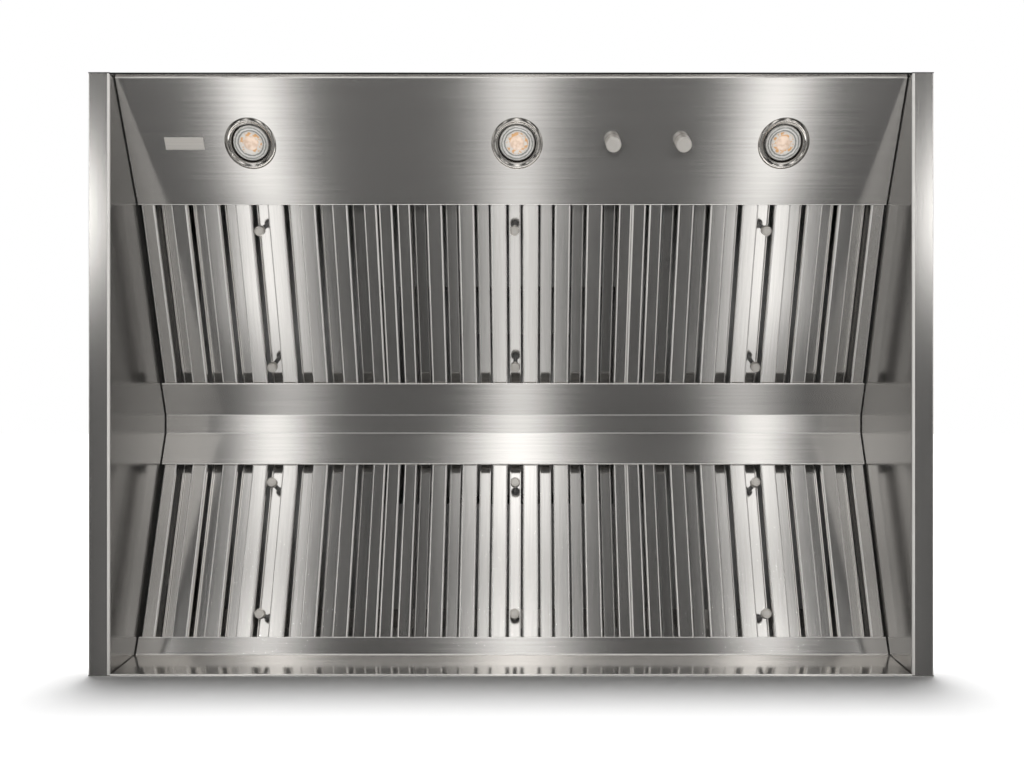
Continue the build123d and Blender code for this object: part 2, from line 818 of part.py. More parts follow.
lid_size = (junction_size[0] + 2 * (sheet + lid_gap), junction_size[1] + 2 * (sheet + lid_gap))
with BuildPart() as junction_box_cover:
    with Locations((junction_x, junction_y, body_height + junction_size[2] + sheet)):
        Box(*lid_size, junction_lid_lap, align=(Align.CENTER, Align.CENTER, Align.MAX))
    offset(
        amount=-sheet,
        openings=junction_box_cover.part.faces().sort_by(Axis.Z)[0],
        kind=Kind.INTERSECTION,
    )
save(junction_box_cover.part, "junction_box_cover")
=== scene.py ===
# %% [markdown]
# # A range hood insert, seen from below
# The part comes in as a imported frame: every CAD node already lies in its place, in metres, with +Z up.
# This lesson gives each sheet its brushed finish, rebuilds the pieces whose small bends the camera can see,
# and lights the whole from in front, as in a studio.

import json
import math

import bmesh
import bpy
import numpy as np
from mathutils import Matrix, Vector


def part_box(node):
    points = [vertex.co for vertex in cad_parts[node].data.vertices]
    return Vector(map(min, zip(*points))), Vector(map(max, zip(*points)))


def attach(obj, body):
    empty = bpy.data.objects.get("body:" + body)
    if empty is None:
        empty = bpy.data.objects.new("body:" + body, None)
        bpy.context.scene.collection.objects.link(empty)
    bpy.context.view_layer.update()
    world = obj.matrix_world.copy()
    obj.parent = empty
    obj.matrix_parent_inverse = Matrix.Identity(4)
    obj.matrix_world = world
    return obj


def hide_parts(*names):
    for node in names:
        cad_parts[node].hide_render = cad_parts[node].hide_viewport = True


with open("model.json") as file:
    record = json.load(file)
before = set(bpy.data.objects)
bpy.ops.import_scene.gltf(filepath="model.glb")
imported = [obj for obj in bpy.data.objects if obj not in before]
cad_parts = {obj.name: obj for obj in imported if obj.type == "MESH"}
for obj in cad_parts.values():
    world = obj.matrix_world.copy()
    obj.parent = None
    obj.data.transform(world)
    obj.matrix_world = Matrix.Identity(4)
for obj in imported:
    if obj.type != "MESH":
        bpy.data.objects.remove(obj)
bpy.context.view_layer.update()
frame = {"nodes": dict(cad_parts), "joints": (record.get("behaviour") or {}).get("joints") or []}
nodes = frame["nodes"]
joints = {joint["name"]: joint for joint in frame["joints"]}

# %% [markdown]
# ## The camera
# The photograph looks straight up into the hood from a little over a metre below its rim, and the top of the
# picture is the front of the hood. A camera that is turned half round about X looks up with its own up along -Y.

# %% Camera
picture_width = 1024
lens = 35.0
sensor = 36.0
eye = (0.0227, 0.0124, -1.256)
principal_point = 17.0  # pixels right of the picture's middle

camera_data = bpy.data.cameras.new("camera")
camera_data.lens = lens
camera_data.sensor_width = sensor
camera_data.shift_x = -principal_point / picture_width
camera_data.clip_end = 50
camera = bpy.data.objects.new("camera", camera_data)
camera.location = eye
camera.rotation_euler = (math.pi, 0, 0)
bpy.context.scene.collection.objects.link(camera)
bpy.context.scene.camera = camera
print("camera", tuple(round(x, 3) for x in camera.location))

# %% [markdown]
# ## Shader maths as plain expressions
# A material is a little program. Wrapping a socket in a class that knows the operators lets its formulas be
# written as formulas, and one method adds every other kind of node.


# %% Values and looks
class Value:
    """A socket in a material's node tree. Each operator adds one Math node and gives its result."""

    def __init__(self, look, socket):
        self.look = look
        self.socket = socket

    def math(self, operation, *others):
        return self.look.node("Math", {"operation": operation}, self, *others)["Value"]

    def __add__(self, other):
        return self.math("ADD", other)

    def __radd__(self, other):
        return self + other

    def __sub__(self, other):
        return self.math("SUBTRACT", other)

    def __rsub__(self, other):
        return self * -1.0 + other

    def __mul__(self, other):
        return self.math("MULTIPLY", other)

    def __truediv__(self, other):
        return self.math("DIVIDE", other)

    def __pow__(self, other):
        return self.math("POWER", other)

    def between(self, low, high):
        """0 below low, 1 above high, and smooth in between."""
        return self.look.node(
            "MapRange", {"interpolation_type": "SMOOTHSTEP"}, Value=self, **{"From Min": low, "From Max": high}
        )["Result"]


class Outputs:
    """The outputs of a node, by name."""

    def __init__(self, look, made):
        self.look = look
        self.made = made

    def __getitem__(self, name):
        return Value(self.look, self.made.outputs[name])


class Look:
    """A material, or the world, while its nodes are put together."""

    def __init__(self, name, **constants):
        self.material = bpy.data.materials.new(name)
        self.material.use_nodes = True
        self.tree = self.material.node_tree
        self.shader = self.tree.nodes["Principled BSDF"]
        self.set(self.shader, constants)

    def set(self, made, inputs):
        for name, value in inputs.items():
            socket = made.inputs[name] if isinstance(name, int) else made.inputs[name.replace("_", " ")]
            if isinstance(value, Value):
                self.tree.links.new(value.socket, socket)
            elif value is not None:
                socket.default_value = value

    def node(self, kind, settings=None, *values, **named):
        """One node: its settings first, then its sockets, in order or by name."""
        made = self.tree.nodes.new("ShaderNode" + kind)
        for name, value in (settings or {}).items():
            setattr(made, name, value)
        self.set(made, dict(enumerate(values)))
        self.set(made, named)
        return Outputs(self, made)

    def noise(self, scale, detail=2.0, roughness=0.5):
        """Noise in the object's own coordinates, in metres, which scale stretches along each axis."""
        where = self.node("TexCoord")["Object"]
        scaled = self.node("Mapping", None, Vector=where, Scale=scale)["Vector"]
        return self.node("TexNoise", None, Vector=scaled, Scale=1.0, Detail=detail, Roughness=roughness)["Fac"]

    def mixed(self, factor, low, high):
        """A colour between two colours."""
        made = self.tree.nodes.new("ShaderNodeMix")
        made.data_type = "RGBA"
        self.set(made, {0: factor, 6: low, 7: high})
        return Value(self, made.outputs[2])

    def bump(self, height, depth):
        return self.node("Bump", None, Height=height, Distance=depth, Strength=1.0)["Normal"]

    def turned_spot(self):
        """The distance from a turned piece's own axis, and the height along that axis."""
        spot = self.node("SeparateXYZ", None, self.node("Attribute", {"attribute_name": "spot"})["Vector"])
        return (spot["X"] ** 2.0 + spot["Y"] ** 2.0).math("SQRT"), spot["Z"]

    def shows(self, **inputs):
        """Links what changes over the surface to the shader."""
        self.set(self.shader, inputs)
        return self.material

    def wears(self, shader):
        """Puts another shader on the surface, in place of the first one."""
        self.tree.links.new(shader.socket, self.tree.nodes["Material Output"].inputs["Surface"])
        return self.material


def rgb(grey, warmth=0.0):
    """A near-neutral colour: its red a little above, its blue a little below its grey."""
    return (grey * (1 + warmth), grey, grey * (1 - 1.4 * warmth), 1.0)


# %% [markdown]
# ## Brushed steel
# Brushing leaves shallow scratches, all one way. They scatter light across their own direction much more than
# along it, so each sheet shows its reflections as soft bands square to its grain. Noise that is stretched along the
# grain gives the scratches: it moves the colour and the roughness a little and tilts the surface a very little.
# A small part of the light is scattered evenly, as from any satin steel, which is what lets it show a shadow.


# %% Brushed steel
along_scratch = 12.0  # the noise's scale along the grain, where fine is its scale across
# bends are painted paler and less metallic than the rest of the sheet, as a painted highlight along each bend
bend_highlight_grey, bend_highlight_scatter = 0.62, 0.55


def brushed(
    name, grain, grey=0.6, warmth=0.03, roughness=0.2, tilt=3e-6, fine=800.0, metal=0.88, contrast=0.06, dull=None
):
    """Steel brushed along grain, a direction as three numbers near 0 or 1.

    Its last argument, if given, is an axis, two distances from the middle along it and a grey: from the first distance
    to the second, the steel's own grey passes over into that grey, as painted shade. Where the sheet is bent, it is
    painted paler and less metallic, as a painted highlight along the bend.
    """
    look = Look(name)
    across = tuple(fine * (1 - g) + along_scratch * g for g in grain)
    hair = tuple(0.4 * a for a in across)
    cloud = tuple(7.0 * (1 - g) + 2.0 * g for g in grain)
    scratches = look.noise(across, detail=3.0, roughness=0.6)
    hairs = look.noise(hair, detail=2.0)
    clouds = look.noise(cloud, detail=2.0)
    mark = (scratches * 0.5 + hairs * 0.5).between(0.3, 0.7)
    colour = look.mixed(mark, rgb(grey * (1 - contrast), warmth), rgb(min(grey * (1 + contrast), 0.95), warmth))
    # painted highlight: each bend is painted paler here and made less metallic below, so that it shows as a bright
    # line
    bent = look.node("Attribute", {"attribute_name": "bent"})["Fac"]
    colour = look.mixed(bent, colour, rgb(bend_highlight_grey, warmth))
    # painted shade: along the given axis, between the two distances, the colour passes over into a darker grey
    if dull:
        axis, start, full, shade_grey = dull
        distance = look.node("SeparateXYZ", None, look.node("TexCoord")["Object"])[axis].math("ABSOLUTE")
        colour = look.mixed(distance.between(start, full), colour, rgb(shade_grey, warmth))
    rough = roughness + mark * 0.02 - 0.01 + (clouds - 0.5) * 0.03
    return look.shows(
        Base_Color=colour,
        Metallic=metal - bent * bend_highlight_scatter,
        Roughness=rough,
        Normal=look.bump(scratches + hairs, tilt),
    )


across_hood = (1.0, 0.0, 0.0)
along_hood = (0.0, 1.0, 0.0)
down_slope = (0.0, 0.985, 0.97)
every_way = (0.0, 0.0, 0.0)
any_way = (0.3, 0.3, 0.3)

painted_shade_lip = ("Z", 0.0017, 0.0012, 0.015)  # the front wall's lower edge, painted nearly black as painted shade
painted_shade_inside = ("X", 0.5069, 0.5065, 0.28)  # a side panel's inner face, painted darker than its outer face as painted shade

finishes = {
    "sheet": brushed("sheet_steel", across_hood, roughness=0.12),
    "front": brushed("front_steel", across_hood, roughness=0.12, dull=painted_shade_lip),
    "side": brushed(
        "side_steel", along_hood, grey=0.5, roughness=0.17, fine=1300.0, contrast=0.04, dull=painted_shade_inside
    ),
    "filter": brushed("filter_steel", down_slope, grey=0.62, roughness=0.11, tilt=1.2e-6, metal=0.9),
    "galvanised": brushed(
        "galvanised_steel", every_way, grey=0.55, warmth=0.01, roughness=0.38, fine=140.0, tilt=2e-6, metal=0.7
    ),
    "polished": brushed(
        "polished_steel", any_way, grey=0.6, roughness=0.14, tilt=1e-6, fine=1200.0, metal=1.0
    ),
    "plate": brushed("plate_metal", across_hood, grey=0.44, warmth=0.05, roughness=0.35, tilt=2e-6, metal=0.4),
}
print("finishes", list(finishes))

# %% [markdown]
# ## Turned metal
# A knob's face is cut on a lathe, so its marks are rings. The distance from the knob's own axis, which each turned
# piece carries with it as an attribute, drives a wave that is finer than the eye can count.


# %% Turned metal
def turned(name, grey, roughness, metal, rings=2600.0, depth=1.5e-6, stud=None):
    """Metal cut on a lathe. If a depth is given last, the stem from that depth inwards is painted nearly black, as
    painted shade under the knob's head.
    """
    look = Look(name, Metallic=metal)
    radius, height = look.turned_spot()
    wobble = look.noise((90.0, 90.0, 90.0))
    groove = (radius * rings + wobble * 2.0).math("SINE") * 0.5 + 0.5
    colour = look.mixed(groove, rgb(grey * 0.88, 0.05), rgb(grey, 0.05))
    if stud is not None:
        # painted shade: from that depth inwards, the stem is painted nearly black
        colour = look.mixed(height.between(stud, stud + 0.0005), colour, rgb(0.05))
    return look.shows(Base_Color=colour, Roughness=roughness + wobble * 0.06, Normal=look.bump(groove, depth))


finishes["turned"] = turned("turned_metal", grey=0.6, roughness=0.34, metal=0.65)
# the pull knobs' stems are painted nearly black, as painted shade under their heads
finishes["pull"] = turned("pull_metal", grey=0.62, roughness=0.3, metal=0.7, stud=-0.002)
finishes["cast"] = turned("ring_metal", grey=0.62, roughness=0.16, rings=700.0, depth=4e-7, metal=1.0)

# %% [markdown]
# ## The lamps' glass
# Each lamp looks out through a moulded clear front. Its middle is a pale disc, amber shows through the glass round
# it, and fine rings run on to the rim, with pale glints and reflections painted onto the glass. The distance from the
# lamp's axis drives all of this, and noise breaks it up.


# %% Lamp glass
lens_radius = 0.0233


def lamp_glass(name):
    """Glass whose rings, disc and rim lie at shares of the lens's radius: out is 0 at its axis and 1 at its edge."""
    look = Look(name, Coat_Weight=0.5)
    out = look.turned_spot()[0] / lens_radius
    cells = look.noise((210.0, 210.0, 210.0), detail=2.0)
    grains = look.noise((520.0, 520.0, 520.0), detail=2.0)
    rings = (out * 40.0 + cells * 3.5).math("SINE") * 0.5 + 0.5
    disc = look.mixed(cells.between(0.35, 0.65), (0.62, 0.5, 0.41, 1.0), (0.5, 0.38, 0.3, 1.0))
    amber = look.mixed(cells.between(0.42, 0.56), (0.5, 0.27, 0.11, 1.0), (0.5, 0.48, 0.45, 1.0))
    # painted highlights: where the rings and a fine grain rise, the glass is painted pale, as glints and reflections
    # in it
    painted_glints = (rings * 0.45 + grains * 0.55).between(0.3, 0.7)
    glass = look.mixed(painted_glints, (0.17, 0.17, 0.16, 1.0), (0.46, 0.45, 0.43, 1.0))
    inner = look.mixed(out.between(0.36, 0.44), disc, amber)
    face = look.mixed(out.between(0.55, 0.68), inner, glass)
    rim = look.mixed(out.between(0.9, 0.94), face, (0.4, 0.39, 0.37, 1.0))
    glow = look.mixed(out.between(0.25, 0.6), (0.1, 0.068, 0.044, 1.0), (0.015, 0.014, 0.012, 1.0))
    return look.shows(
        Base_Color=rim,
        Roughness=0.16 + cells * 0.1,
        Emission_Color=glow,
        Emission_Strength=1.0,
        Normal=look.bump(rings * out.between(0.5, 0.6) + cells, 1.2e-4),
    )


finishes["lamp"] = lamp_glass("lamp_front")

# %% [markdown]
# ## Plain finishes
# The switches, the motor and the shaft are hidden behind the sheets, but they still get a finish of their own.


# %% Plain finishes
def moulded(name, colour, roughness, speckle=0.04, grain=900.0, depth=2e-5):
    """Plastic or paint with a fine even texture."""
    look = Look(name)
    spots = look.noise((grain, grain, grain), detail=2.0)
    dark = tuple(c * (1 - speckle * 4) for c in colour[:3]) + (1.0,)
    shade = look.mixed(spots, dark, colour)
    return look.shows(Base_Color=shade, Roughness=roughness + (spots - 0.5) * 0.15, Normal=look.bump(spots, depth))


finishes["plastic"] = moulded("black_plastic", (0.035, 0.035, 0.04, 1.0), 0.5)
finishes["paint"] = moulded("motor_paint", (0.1, 0.1, 0.11, 1.0), 0.4)

# %% Which finish each node takes
finish_of = {
    "sheet": ["front_wall", "rear_wall", "light_panel", "centre_channel", "drip_tray"],
    "side": ["left_side_panel", "right_side_panel", "filter_dividers"],
    "galvanised": [
        "roof_panel", "lamp_holders", "control_box", "junction_box", "junction_box_cover", "blower_box",
        "blower_scroll", "blower_side_left", "blower_side_right", "blower_wheel_disc", "blower_cage_left",
        "blower_cage_right", "duct_collar", "damper_flap_front", "damper_flap_rear", "motor_bracket",
    ],
    "plastic": ["fan_switch", "light_dimmer"],
    "paint": ["blower_motor"],
    "polished": ["damper_pin", "blower_shaft"],
}
finish_by_node = {node: finish for finish, group in finish_of.items() for node in group}
for name, thing in nodes.items():
    thing.data.materials.clear()
    thing.data.materials.append(finishes[finish_by_node.get(name, "filter")])

# %% [markdown]
# ## Surfaces from numpy
# Every new piece is one of two surfaces. A folded strip carries the outline of bent sheet straight along a line.
# A turned piece carries a profile round an axis. Both are grids of points, worked out as whole arrays.


# %% Meshes
sharp_from = math.radians(35)
weld = 1e-6


def quads(rows, columns, close_rows=False):
    """The faces of a grid whose columns close up: each joins a point to its right and upper neighbours."""
    row, column = np.meshgrid(np.arange(rows if close_rows else rows - 1), np.arange(columns), indexing="ij")
    upper, right = (row + 1) % rows, (column + 1) % columns
    corners = (row * columns + column, row * columns + right, upper * columns + right, upper * columns + column)
    return np.stack(corners, axis=-1).reshape(-1, 4)


def piece(name, shapes, finish, body, replaced=None, spots=None):
    """One object from (points, faces) shapes, of which a folded one also says where it is bent.

    It rides on a body, and may stand for a CAD node. A turned piece brings its spots: each point as seen from the
    piece's own axis.
    """
    points, faces, bends, start = [], [], [], 0
    for shape_points, shape_faces, *shape_bends in shapes:
        points.append(shape_points)
        faces.extend([[int(corner) + start for corner in face] for face in shape_faces])
        bends.append(shape_bends[0] if shape_bends else np.zeros(len(shape_points)))
        start += len(shape_points)
    points = np.concatenate(points)
    mesh = bpy.data.meshes.new(name)
    mesh.from_pydata(points.tolist(), [], faces)
    mesh.attributes.new("bent", "FLOAT", "POINT").data.foreach_set("value", np.concatenate(bends))
    if spots is not None:
        layer = mesh.attributes.new("spot", "FLOAT_VECTOR", "POINT")
        layer.data.foreach_set("vector", np.concatenate(spots).ravel())
    form = bmesh.new()
    form.from_mesh(mesh)
    bmesh.ops.remove_doubles(form, verts=form.verts, dist=weld)
    bmesh.ops.recalc_face_normals(form, faces=form.faces)
    form.to_mesh(mesh)
    form.free()
    mesh.shade_smooth()
    mesh.set_sharp_from_angle(angle=sharp_from)
    mesh.materials.append(finishes[finish])
    thing = bpy.data.objects.new(name, mesh)
    bpy.context.scene.collection.objects.link(thing)
    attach(thing, body)
    if replaced:
        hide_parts(replaced)
    return thing


# %% Folded sheet
least_bend, cut_edge = 0.03, 1.0  # turns of an outline, in radians


def unit(vector):
    return vector / np.linalg.norm(vector)


def rounded(corners, radii, steps=5, settle=1e-4):
    """An open path with an arc in each inner corner, and at each of its points the direction to the path's left.

    An arc's ends lie radius * tan(half the turn) from its corner, and its points swing round its centre between them.
    A point just outside each end keeps the flat parts flat when the surface is shaded smoothly.
    """
    corners = np.array(corners, float)
    ways = np.diff(corners, axis=0)
    ways /= np.linalg.norm(ways, axis=1)[:, None]
    lefts = np.stack([-ways[:, 1], ways[:, 0]], axis=1)
    share = np.linspace(0, 1, steps + 1)[:, None]
    path, left = [corners[:1]], [lefts[:1]]
    radii = np.broadcast_to(radii, len(corners) - 2)
    for corner, radius, arriving, leaving, before, after in zip(corners[1:], radii, ways, ways[1:], lefts, lefts[1:]):
        turn = math.acos(np.clip(arriving @ leaving, -1, 1))
        first_share, last_share = np.sin((1 - share) * turn) / math.sin(turn), np.sin(share * turn) / math.sin(turn)
        reach = radius * math.tan(turn / 2)
        centre = corner + unit(leaving - arriving) * radius / math.cos(turn / 2)
        first, last = corner - arriving * reach, corner + leaving * reach
        arc = centre + first_share * (first - centre) + last_share * (last - centre)
        path += [[first - arriving * settle], arc, [last + leaving * settle]]
        left += [[before], first_share * before + last_share * after, [after]]
    return np.concatenate(path + [corners[-1:]]), np.concatenate(left + [lefts[-1:]])


def folded(corners, radii, wall):
    """The closed outline of bent sheet: its outer path, and the same path a wall further in, to the path's left."""
    path, left = rounded(corners, radii)
    return np.concatenate([path, (path + wall * left)[::-1]])


def strip(outline, origin, across, inward, run):
    """The outline, as (across, inward) points, carried straight from the origin along run, with both ends closed.

    A point is on a bend where the outline turns there by a few degrees, but not by as much as at a cut edge.
    """
    way = np.roll(outline, -1, axis=0) - outline
    length = np.linalg.norm(way, axis=1)[:, None]
    way /= np.where(length > 0, length, 1.0)  # the points of an arc without a radius coincide
    turn = np.arccos(np.clip((way * np.roll(way, 1, axis=0)).sum(axis=1), -1, 1))
    bends = np.tile((turn > least_bend) & (turn < cut_edge), 2).astype(float)
    section = origin + outline[:, :1] * across + outline[:, 1:] * inward
    points = np.concatenate([section, section + run])
    count = len(outline)
    half = count // 2
    ends = [[i, i + 1, count - 2 - i, count - 1 - i] for i in range(half - 1)]
    ends += [[corner + count for corner in reversed(face)] for face in ends]
    return points, list(quads(2, count)) + ends, bends


# %% Turned surfaces
def revolved(profile, centre, across, up, inward, turns=72, closed=False):
    """Points centre + r (cos a across + sin a up) + h inward, for each (r, h) of the profile and each angle a.

    A closed profile runs on from its last point to its first, as a ring's does.
    """
    radius, height = np.array(profile, float).T
    angle = np.linspace(0, 2 * math.pi, turns, endpoint=False)
    flat = np.stack([np.outer(radius, np.cos(angle)), np.outer(radius, np.sin(angle))], axis=-1)
    points = centre + flat[..., :1] * across + flat[..., 1:] * up + height[:, None, None] * inward
    spots = np.concatenate([flat, np.broadcast_to(height[:, None, None], (*flat.shape[:2], 1))], axis=-1)
    return (points.reshape(-1, 3), quads(len(profile), turns, closed)), spots.reshape(-1, 3)


# %% [markdown]
# ## Where things lie
# A filter's frame is a box that leans. Its CAD box and the direction in which it slides give its length, its depth
# and the corner that its lower end and its visible face share.


# %% Slopes
x_axis = np.array([1.0, 0.0, 0.0])


class Slope:
    """A leaning plane: across is X, up runs up the slope and inward points into the hood."""

    def __init__(self, up):
        self.up = np.array(up, float) / np.linalg.norm(up)
        self.inward = np.cross(x_axis, self.up)
        if self.inward[2] < 0:
            self.inward = -self.inward

    def measure(self, node):
        """The node's length and depth, and the lower end of its visible face, from the box round it."""
        low, high = (np.array(corner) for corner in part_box(node))
        y_share, z_share = abs(self.up[1]), abs(self.up[2])
        y_extent, z_extent = (high - low)[1:]
        length = (y_extent * y_share - z_extent * z_share) / (y_share**2 - z_share**2)
        depth = (z_extent * y_share - y_extent * z_share) / (y_share**2 - z_share**2)
        edge = low[1] + depth * z_share if self.up[1] > 0 else high[1] - depth * z_share
        return length, depth, np.array([(low[0] + high[0]) / 2, edge, low[2]])


slopes = {row: Slope(joints[f"{row}_left_filter_slide"]["axis"]) for row in ("front", "rear")}
lamp_axis = -np.array(joints["fan_knob_turn"]["axis"], float)
panel = Slope((0.0, lamp_axis[2], -lamp_axis[1]))
knob_spot = {use: np.array(joints[f"{use}_knob_turn"]["pos_m"], float) for use in ("fan", "light")}
print("slopes", [slope.up.round(3).tolist() for slope in (*slopes.values(), panel)])

# %% [markdown]
# ## The casing's sheets
# The casing is folded from sheet steel, and its bends and hems are what the eye follows: each one is a thin bright
# line. So the sheets are folded again here from the same corners as in the CAD, as the visible outline of a section
# that runs from side to side. A hem is the sheet's edge folded back flat onto itself.

# %% Section of the casing
sheet, bend, hem_back, hem_slack = 0.0012, 0.0020, 0.0060, 0.00025
half_width, inner_half, sheet_half, wall_inside = 0.5335, 0.5063, 0.5048, 0.3798
flange_return, top_return, wall_top, return_half = 0.0127, 0.0150, 0.3038, 0.4910
y_axis, z_axis = np.array([0.0, 1.0, 0.0]), np.array([0.0, 0.0, 1.0])
lip_inside, half_depth = wall_inside - sheet, wall_inside + sheet
panel_foot, front_hem = np.array([-lip_inside, 0.0127]), np.array([-0.2290, 0.0880])
front_top, channel_front = np.array([0.0116, 0.1745]), np.array([0.0575, 0.1932])
channel_rear, rear_top = np.array([0.0838, 0.1932]), np.array([0.1276, 0.1745])
rear_hem, tray_corner = np.array([0.3540, 0.0900]), np.array([lip_inside - 0.0029, 0.0800])
filter_xs, panel_overlap, tray_overlap = (-0.343, 0.003, 0.345), 0.008, 0.012
tab_width, tab_depth, tab_spacing, stop_gap = 0.030, 0.0271, 0.200, 0.0003


def hem(edge, before, side):
    """The two corners that follow a hemmed edge: out to one side of the sheet, +1 for its left, and back along it."""
    way = unit(edge - before)
    lift = side * np.array([-way[1], way[0]]) * (2 * sheet + hem_slack)
    return [edge + lift, edge + lift - way * hem_back]


def from_side_to_side(corners, radii):
    return strip(folded(corners, radii, sheet), -sheet_half * x_axis, y_axis, z_axis, 2 * sheet_half * x_axis)


def tabs(edge, inner, slope, overlap):
    """Tabs on a sheet's back, square to the filters, where their lower ends come to rest."""
    run = unit(inner - edge)
    back = run[::-1] * (1, -1) * math.copysign(1, edge[0] - inner[0])
    foot = edge + run * (overlap + stop_gap + sheet / 2) / abs(run @ slope.up[1:]) + back * sheet / 2
    outline = np.array([(-sheet / 2, 0.0), (-sheet / 2, tab_depth), (sheet / 2, tab_depth), (sheet / 2, 0.0)])
    starts = [x + step - tab_width / 2 for x in filter_xs for step in (-tab_spacing / 2, tab_spacing / 2)]
    return [strip(outline, np.array([x, *foot]), slope.up, slope.inward, tab_width * x_axis) for x in starts]


# %% Centre channel and drip tray
channel = [
    *reversed(hem(front_top, channel_front, -1)), front_top, channel_front, channel_rear, rear_top,
    *hem(rear_top, channel_rear, 1),
]
shape = from_side_to_side(channel, [sheet, sheet, bend, bend, sheet, sheet])
piece("channel_sheet", [shape], "sheet", "liner", "centre_channel")
tray = [*reversed(hem(rear_hem, tray_corner, -1)), rear_hem, tray_corner, np.array([lip_inside, sheet])]
shape = from_side_to_side(tray, [sheet, sheet, bend])
tray_tabs = tabs(rear_hem, tray_corner, slopes["rear"], tray_overlap)
piece("tray_sheet", [shape, *tray_tabs], "sheet", "liner", "drip_tray")

# %% [markdown]
# ## The light panel
# The panel is one such sheet with five holes, three for the lamps and two for the controls' spindles. A Boolean
# modifier cuts them, because a hole's edge would need its own grid otherwise.

# %% Light panel
lamp_pitch, lamp_row_x, lamp_above_knobs = 0.350, 0.007, 0.0025
lamp_hole, spindle_hole, drill_reach = 0.0275, 0.0035, 0.004
lamp_places = {
    place: knob_spot["fan"] * (0, 1, 1) + panel.up * lamp_above_knobs + x_axis * (lamp_row_x + step * lamp_pitch)
    for place, step in (("left", -1), ("centre", 0), ("right", 1))
}
panel_path = [np.array([-lip_inside, sheet]), panel_foot, front_hem, *hem(front_hem, panel_foot, 1)]
shape = from_side_to_side(panel_path, [bend, sheet, sheet])
panel_sheet = piece("panel_sheet", [shape], "sheet", "liner", "light_panel")
panel_tabs = tabs(front_hem, panel_foot, slopes["front"], panel_overlap)
piece("panel_tabs", panel_tabs, "sheet", "liner")


def drilled(thing, holes):
    """The thing with round holes through it: each is a centre and a radius on the light panel."""
    drills = []
    for centre, radius in holes:
        profile = [(0.0, -drill_reach), (radius, -drill_reach), (radius, drill_reach), (0.0, drill_reach)]
        drills.append(revolved(profile, centre, x_axis, panel.up, panel.inward)[0])
    drill = piece("drill", drills, "sheet", "liner")
    cut = thing.modifiers.new("holes", "BOOLEAN")
    cut.operation, cut.solver, cut.object = "DIFFERENCE", "EXACT", drill
    done = bpy.data.meshes.new_from_object(thing.evaluated_get(bpy.context.evaluated_depsgraph_get()))
    thing.modifiers.clear()
    thing.data = done
    done.shade_smooth()
    done.set_sharp_from_angle(angle=sharp_from)
    bpy.data.objects.remove(drill)


holes = [(centre, lamp_hole) for centre in lamp_places.values()]
holes += [(centre, spindle_hole) for centre in knob_spot.values()]
drilled(panel_sheet, holes)
print("light panel", len(panel_sheet.data.polygons), "faces")

# %% [markdown]
# ## Side panels and end walls
# Each side panel is one sheet with a flange at its foot that bears on the cabinet, and a short return at its top.
# The end walls close the casing at the front and the rear. Their lower edge is folded round into a thin lip.

# %% Side panels
flange_bend = 0.0032
side_path = [
    (inner_half - top_return, wall_top - sheet), (inner_half, wall_top - sheet), (inner_half, 0.0), (half_width, 0.0),
    (half_width, flange_return),
]
for name, turn in (("left", -1), ("right", 1)):
    outline = folded(side_path, [0.0010, flange_bend, 0.0014], sheet) * (turn, 1)
    shape = strip(outline, -wall_inside * y_axis, x_axis, z_axis, 2 * wall_inside * y_axis)
    piece(f"{name}_side_sheet", [shape], "side", "liner", f"{name}_side_panel")

# %% End walls
lip_round = 0.00105
lipped = [(-half_depth, 0.0), (-lip_inside, 0.0), (-lip_inside, sheet)]
with_return = folded(
    [(top_return - wall_inside, wall_top), (-half_depth, wall_top), *lipped], [0.0010, lip_round, lip_round], lip_round
)
without_return = folded([(-half_depth, wall_top), *lipped], lip_round, lip_round)
plain = np.array([(-half_depth, wall_top), (-half_depth, 0.0), (-wall_inside, 0.0), (-wall_inside, wall_top)])
ear = np.minimum(plain, (1.0, flange_return))
for name, turn in (("front", 1), ("rear", -1)):
    shapes = []
    for outline, start, end in (
        (with_return, -return_half, return_half),
        (without_return, return_half, inner_half), (without_return, -inner_half, -return_half),
        (plain, inner_half, inner_half + sheet), (plain, -inner_half - sheet, -inner_half),
        (ear, inner_half + sheet, half_width), (ear, -half_width, -inner_half - sheet),
    ):
        shapes.append(strip(outline * (turn, 1), start * x_axis, y_axis, z_axis, (end - start) * x_axis))
    finish = "front" if name == "front" else "sheet"
    piece(f"{name}_wall_sheet", shapes, finish, "liner", f"{name}_wall")

# %% [markdown]
# ## The baffle filters
# Each filter has six front baffles with round bends. Seven narrower ones stand behind the slots between them, so
# that the air turns twice on its way in and drops its grease. The frame is folded round all of them.

# %% Baffles
filter_sheet = 0.0010
baffle_sheet = 0.0008
front_width, front_leg, front_bend = 0.0215, 0.0095, 0.0022
rear_leg, rear_bend = 0.0050, 0.0014
front_count, rear_count = 6, 7
rail_face, end_face, rail_bend, lip, lip_bend = 0.0175, 0.0080, 0.0022, 0.0040, 0.0018
end_gap = 0.0012


def channel_outline(width, web, leg, radius, wall):
    """A channel's closed outline: its web's outer face lies at web, and its legs reach leg further, either way."""
    half = math.copysign(width / 2, leg)
    return folded([(-half, web + leg), (-half, web), (half, web), (half, web + leg)], radius, wall)


def baffle_row(node, origin, slope, length, outline, width, count):
    """The baffles of one row, as far apart as the CAD ones."""
    low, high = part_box(node)
    first, last = low[0] + width / 2, high[0] - width / 2
    shapes = []
    for x in np.linspace(first, last, count):
        start = np.array([x, origin[1], origin[2]]) + slope.up * end_gap
        shapes.append(strip(outline, start, x_axis, slope.inward, slope.up * (length - 2 * end_gap)))
    return shapes


